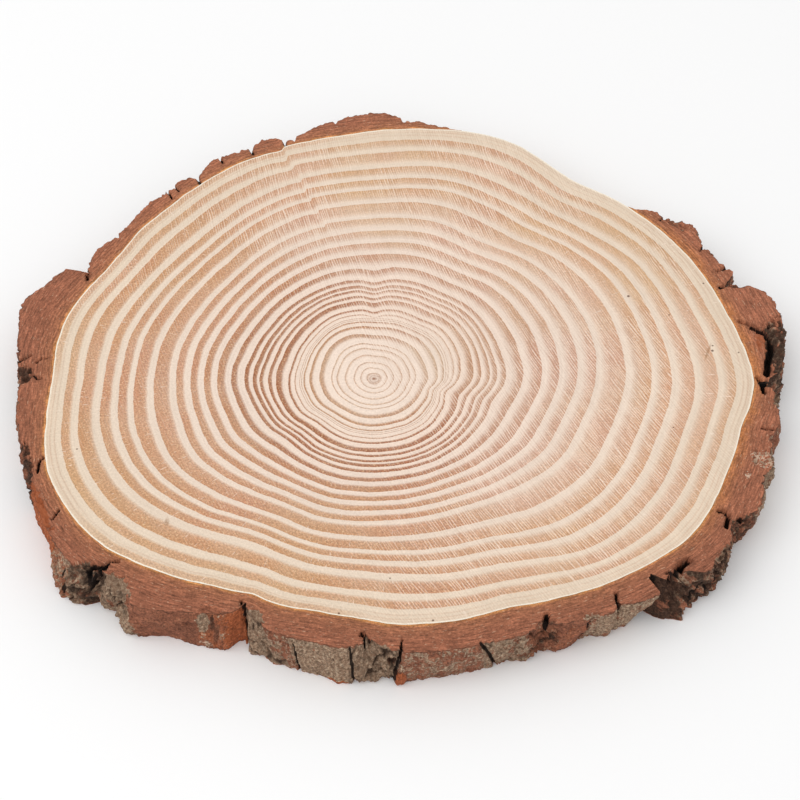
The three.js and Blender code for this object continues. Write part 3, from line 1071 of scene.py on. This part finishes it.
def makePeeledWood():
    # the wood's own side, where the bark is gone
    material, tree, shader = newMaterial("peeledWood")
    spot = objectSpot(tree)
    grain = noisy(tree, spot, 260.0, 4.0, 0.6, (1.0, 1.0, 0.12))
    blotch = noisy(tree, spot, 60.0, 3.0)
    colour = ramp(tree, grain, [(0.3, tint(150, 112, 80)), (0.5, tint(184, 146, 110)), (0.7, tint(205, 170, 134))])
    colour = blend(tree, spread(tree, blotch, 0.45, 0.7, 0.0, 0.6), colour, tint(138, 92, 62))
    tree.links.new(colour, shader.inputs["Base Color"])
    shader.inputs["Roughness"].default_value = 0.8
    shader.inputs["Specular IOR Level"].default_value = 0.25
    addBump(tree, shader, grain, 0.0006, 0.7)
    return material


# ---------- bark materials ----------
def barkSpots(tree):
    along, across, down = attribute(tree, "along"), attribute(tree, "across"), attribute(tree, "down")
    return along, across, down, combine(tree, along, across, down)


def makeSawnBark():
    material, tree, shader = newMaterial("sawnBark")
    along, across, down, spot = barkSpots(tree)
    flat = objectSpot(tree)
    layered = noisy(tree, spot, 1.0, 4.0, 0.6, (80.0, 900.0, 300.0))
    lines = noisy(tree, spot, 1.0, 3.0, 0.7, (200.0, 1500.0, 500.0))
    patchy = noisy(tree, flat, 120.0, 3.0)
    grit = noisy(tree, flat, 1050.0, 3.0, 0.8)
    width = calc(tree, "ADD", across, spread(tree, patchy, 0.3, 0.7, -0.0006, 0.0006, "LINEAR"))
    colour = ramp(tree, calc(tree, "MULTIPLY", width, 50.0), [
        (0.0, tint(214, 150, 92)), (0.03, tint(186, 124, 80)), (0.065, tint(163, 106, 76)),
        (0.2, tint(159, 102, 75)), (0.35, tint(155, 98, 73)), (0.6, tint(154, 97, 73)),
        (0.9, tint(156, 99, 75))])
    place = parts(tree, flat)
    golden = calc(tree, "MULTIPLY", spread(tree, place[0], 0.10, 0.125), spread(tree, across, 0.006, 0.001))
    golden = calc(tree, "MULTIPLY", golden, spread(tree, patchy, 0.4, 0.6, 0.1, 0.6))
    colour = blend(tree, golden, colour, tint(184, 116, 66))
    # painted light and shade: the sawn bark is painted darker towards the front, lighter towards the back and lighter
    # again at the far right
    colour = blend(tree, 1.0, colour, shadeOf(tree, place[1], -0.12, 0.12, 0.95, 1.07), "MULTIPLY")
    colour = blend(tree, 1.0, colour, shadeOf(tree, place[0], 0.11, 0.15, 1.0, 1.10), "MULTIPLY")
    colour = blend(tree, 1.0, colour, shadeOf(tree, layered, 0.25, 0.75, 0.68, 1.32), "MULTIPLY")
    colour = blend(tree, 1.0, colour, shadeOf(tree, lines, 0.34, 0.66, 0.60, 1.40), "MULTIPLY")
    colour = blend(tree, 1.0, colour, shadeOf(tree, patchy, 0.25, 0.75, 0.88, 1.1), "MULTIPLY")
    colour = blend(tree, 1.0, colour, shadeOf(tree, grit, 0.30, 0.70, 0.62, 1.40), "MULTIPLY")
    speck = spread(tree, noisy(tree, spot, 1.0, 2.0, 0.6, (380.0, 1300.0, 500.0)), 0.62, 0.70)
    colour = blend(tree, calc(tree, "MULTIPLY", speck, 0.5), colour, tint(216, 176, 146))
    colour = wearAndShadeBark(tree, colour, flat)
    tree.links.new(colour, shader.inputs["Base Color"])
    shader.inputs["Roughness"].default_value = 0.85
    shader.inputs["Specular IOR Level"].default_value = 0.2
    lift = calc(tree, "MULTIPLY_ADD", layered, 0.7, calc(tree, "MULTIPLY", grit, 0.4))
    addBump(tree, shader, lift, 0.0005, 0.7)
    return material


def wearAndShadeBark(tree, colour, flat):
    # what time did to it: freshly peeled, splintered pale, weathered grey; dark bark with painted shade in its
    # hollows, and painted near-black shade in the splits
    peeled, grey, dark, split = [attribute(tree, name) for name in ("peeled", "grey", "dark", "split")]
    blotch = noisy(tree, flat, 260.0, 4.0, 0.7)
    fine = noisy(tree, flat, 900.0, 3.0, 0.7)

    def mixed(value, reach, low, high, most, paint):
        edge = calc(tree, "ADD", value, spread(tree, blotch, 0.3, 0.7, -reach, reach, "LINEAR"))
        edge = calc(tree, "ADD", edge, spread(tree, fine, 0.3, 0.7, -reach * 0.6, reach * 0.6, "LINEAR"))
        share = calc(tree, "MULTIPLY", spread(tree, edge, low, high), most)
        return blend(tree, share, colour, paint)

    colour = mixed(peeled, 0.22, 0.3, 0.65, 0.85, tint(164, 90, 54))
    crumbs = calc(tree, "MULTIPLY", peeled, calc(tree, "MULTIPLY", spread(tree, fine, 0.46, 0.56), -1.3))
    colour = mixed(crumbs, 0.1, 0.3, 0.6, 0.75, tint(218, 192, 168))
    worn = ramp(tree, fine, [(0.3, tint(112, 88, 70)), (0.5, tint(146, 121, 99)), (0.68, tint(186, 164, 140))])
    colour = mixed(grey, 0.28, 0.28, 0.55, 0.92, worn)
    deep = ramp(tree, fine, [(0.35, tint(38, 26, 20)), (0.6, tint(74, 54, 42)), (0.72, tint(112, 90, 74))])
    # the dark bark, with painted shade in the hollows, the pits and along the top edge
    colour = mixed(dark, 0.2, 0.25, 0.8, 0.9, deep)
    # painted shade: near-black inside the splits and grooves
    colour = mixed(split, 0.12, 0.38, 0.62, 0.95, tint(30, 20, 16))
    return colour


def makeOuterBark():
    material, tree, shader = newMaterial("outerBark")
    along, across, down, spot = barkSpots(tree)
    flat = objectSpot(tree)
    flake = noisy(tree, spot, 1.0, 5.0, 0.62, (170.0, 100.0, 420.0))
    fibre = noisy(tree, spot, 1.0, 4.0, 0.65, (1100.0, 300.0, 160.0))
    grit = noisy(tree, flat, 1100.0, 3.0, 0.75)
    patchy = noisy(tree, flat, 70.0, 3.0)
    colour = ramp(tree, flake, [(0.28, tint(98, 60, 44)), (0.45, tint(128, 80, 60)),
                                (0.6, tint(146, 93, 70)), (0.75, tint(162, 112, 84))])
    colour = blend(tree, 1.0, colour, shadeOf(tree, patchy, 0.25, 0.75, 0.86, 1.12), "MULTIPLY")
    colour = wearAndShadeBark(tree, colour, flat)
    colour = blend(tree, 1.0, colour, shadeOf(tree, fibre, 0.25, 0.75, 0.74, 1.26), "MULTIPLY")
    colour = blend(tree, 1.0, colour, shadeOf(tree, grit, 0.34, 0.66, 0.5, 1.5), "MULTIPLY")
    tree.links.new(colour, shader.inputs["Base Color"])
    shader.inputs["Roughness"].default_value = 0.88
    shader.inputs["Specular IOR Level"].default_value = 0.2
    lift = calc(tree, "MULTIPLY_ADD", flake, 0.6, calc(tree, "MULTIPLY", grit, 0.4))
    lift = calc(tree, "MULTIPLY_ADD", fibre, 0.25, lift)
    addBump(tree, shader, lift, 0.0011, 0.9)
    return material


sawnWood.data.materials.append(makeEndGrain(endGrain))
sawnWood.data.materials.append(makePeeledWood())
barkPiece.data.materials.append(makeSawnBark())
barkPiece.data.materials.append(makeOuterBark())
for piece, slot in ((sawnWood, "wood"), (barkPiece, "bark")):
    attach(piece, "root")
    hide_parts("wood_slice")
print("materials made")


# ---------- floor and light ----------
studio = {
    "sky": 0.82,
    "lampPower": 9.0,
    "lampSize": 1.6,
    "lampFrom": Vector((-0.9, -0.5, 1.5)),
    "floorTint": (254, 254, 254),
}


def makeFloor(settings):
    shape = bmesh.new()
    bmesh.ops.create_grid(shape, x_segments=1, y_segments=1, size=4.0)
    floor = settle(shape, "floor")
    material, tree, shader = newMaterial("paleFloor")
    shader.inputs["Base Color"].default_value = tint(*settings["floorTint"])
    shader.inputs["Roughness"].default_value = 0.9
    shader.inputs["Specular IOR Level"].default_value = 0.1
    floor.data.materials.append(material)


def makeLight(settings):
    world = bpy.data.worlds.new("softSky")
    world.use_nodes = True
    background = world.node_tree.nodes["Background"]
    background.inputs["Color"].default_value = (1.0, 1.0, 1.0, 1.0)
    background.inputs["Strength"].default_value = settings["sky"]
    scene.world = world
    data = bpy.data.lights.new("softLamp", "AREA")
    data.energy = settings["lampPower"]
    data.size = settings["lampSize"]
    lamp = bpy.data.objects.new("softLamp", data)
    lamp.location = settings["lampFrom"]
    lamp.rotation_euler = settings["lampFrom"].to_track_quat("Z", "Y").to_euler()
    scene.collection.objects.link(lamp)
    scene.view_settings.view_transform = "Standard"


makeFloor(studio)
makeLight(studio)
print("studio set")
